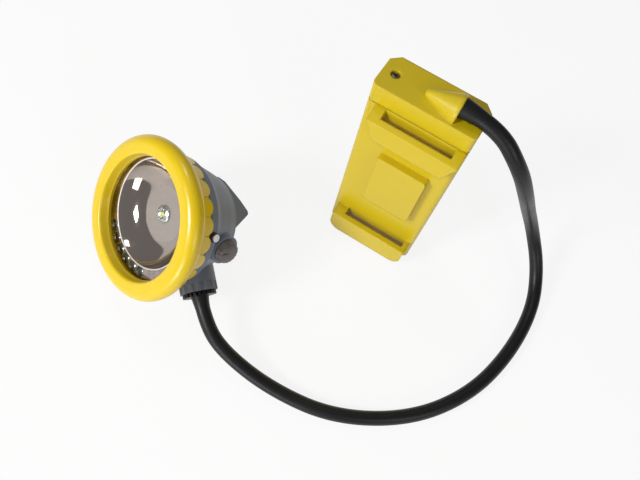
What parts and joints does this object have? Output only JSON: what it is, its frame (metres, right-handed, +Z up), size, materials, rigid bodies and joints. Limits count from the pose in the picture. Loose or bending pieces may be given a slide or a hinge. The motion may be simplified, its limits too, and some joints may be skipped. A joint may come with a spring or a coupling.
{
  "type": "cap lamp",
  "caption": "Round lamp head with a scalloped bezel, off-centre mirror and rear helmet hook, joined by a short rubber cord to a flat battery pack with belt loops.",
  "frame": {"origin": "centre of the base of the box round head and pack, on the floor that the pack stands on and the head's hook rests on, the cord left out", "axes": "+Z up along the standing pack; +X along the pack's width, towards the side where the cord leaves the lid; the belt loops face -Y"},
  "size_m": [0.2207, 0.1507, 0.118],
  "materials": {
    "bezel_ring": "glossy moulded yellow",
    "lens": "clear window",
    "lens_gasket": "soft black",
    "reflector": "bright vacuum-plated mirror",
    "aux_led_board": "circuit board",
    "aux_leds": "clear domes",
    "head_housing": "fine-grained moulded grey",
    "main_led_board": "metal-core board",
    "main_led": "clear dome over a pale chip",
    "mounting_plate": "turned",
    "board_spacers": "turned",
    "driver_board": "circuit board",
    "switch_knob": "moulded dark grey",
    "knob_seal": "soft black",
    "switch_body": "moulded",
    "charging_post": "plated",
    "post_bush": "moulded",
    "gland_nut": "moulded dark grey",
    "gland_ring": "serrated black",
    "helmet_hook": "moulded grey",
    "hook_screws": "plated",
    "battery_case": "glossy moulded yellow",
    "battery_lid": "glossy moulded yellow",
    "lid_screws": "plated",
    "lid_seal": "soft black",
    "cord_clamp": "moulded",
    "battery_cells": "plain drawn can",
    "cell_tabs": "nickel strip",
    "protection_board": "circuit board",
    "foam_pad": "closed-cell foam",
    "lamp_cord": "matte black jacket"
  },
  "bodies": {
    "lamp": {"lens": "lens", "lens_gasket": "lens_gasket", "reflector": "reflector", "aux_led_board": "aux_led_board", "aux_leds": "aux_leds", "head_housing": "head_housing", "main_led_board": "main_led_board", "main_led": "main_led", "mounting_plate": "mounting_plate", "board_spacers": "board_spacers", "driver_board": "driver_board", "knob_seal": "knob_seal", "switch_body": "switch_body", "charging_post": "charging_post", "post_bush": "post_bush", "gland_nut": "gland_nut", "gland_ring": "gland_ring", "helmet_hook": "helmet_hook", "hook_screws": "hook_screws", "battery_case": "battery_case", "battery_lid": "battery_lid", "lid_screws": "lid_screws", "lid_seal": "lid_seal", "cord_clamp": "cord_clamp", "battery_cells": "battery_cells", "cell_tabs": "cell_tabs", "protection_board": "protection_board", "foam_pad": "foam_pad", "lamp_cord": "lamp_cord"},
    "bezel": {"bezel_ring": "bezel_ring"},
    "knob": {"switch_knob": "switch_knob"}
  },
  "joints": [
    {"name": "bezel_turn", "type": "hinge", "parent": "lamp", "child": "bezel", "pos_m": [-0.03933, -0.03672, 0.04632], "axis": [-0.4052, -0.6762, 0.6152], "range_deg": [0, 25]},
    {"name": "switch_turn", "type": "hinge", "parent": "lamp", "child": "knob", "pos_m": [-0.00163, -0.02357, 0.03684], "axis": [0.9123, -0.2549, 0.3206], "range_deg": [0, 90]}
  ]
}
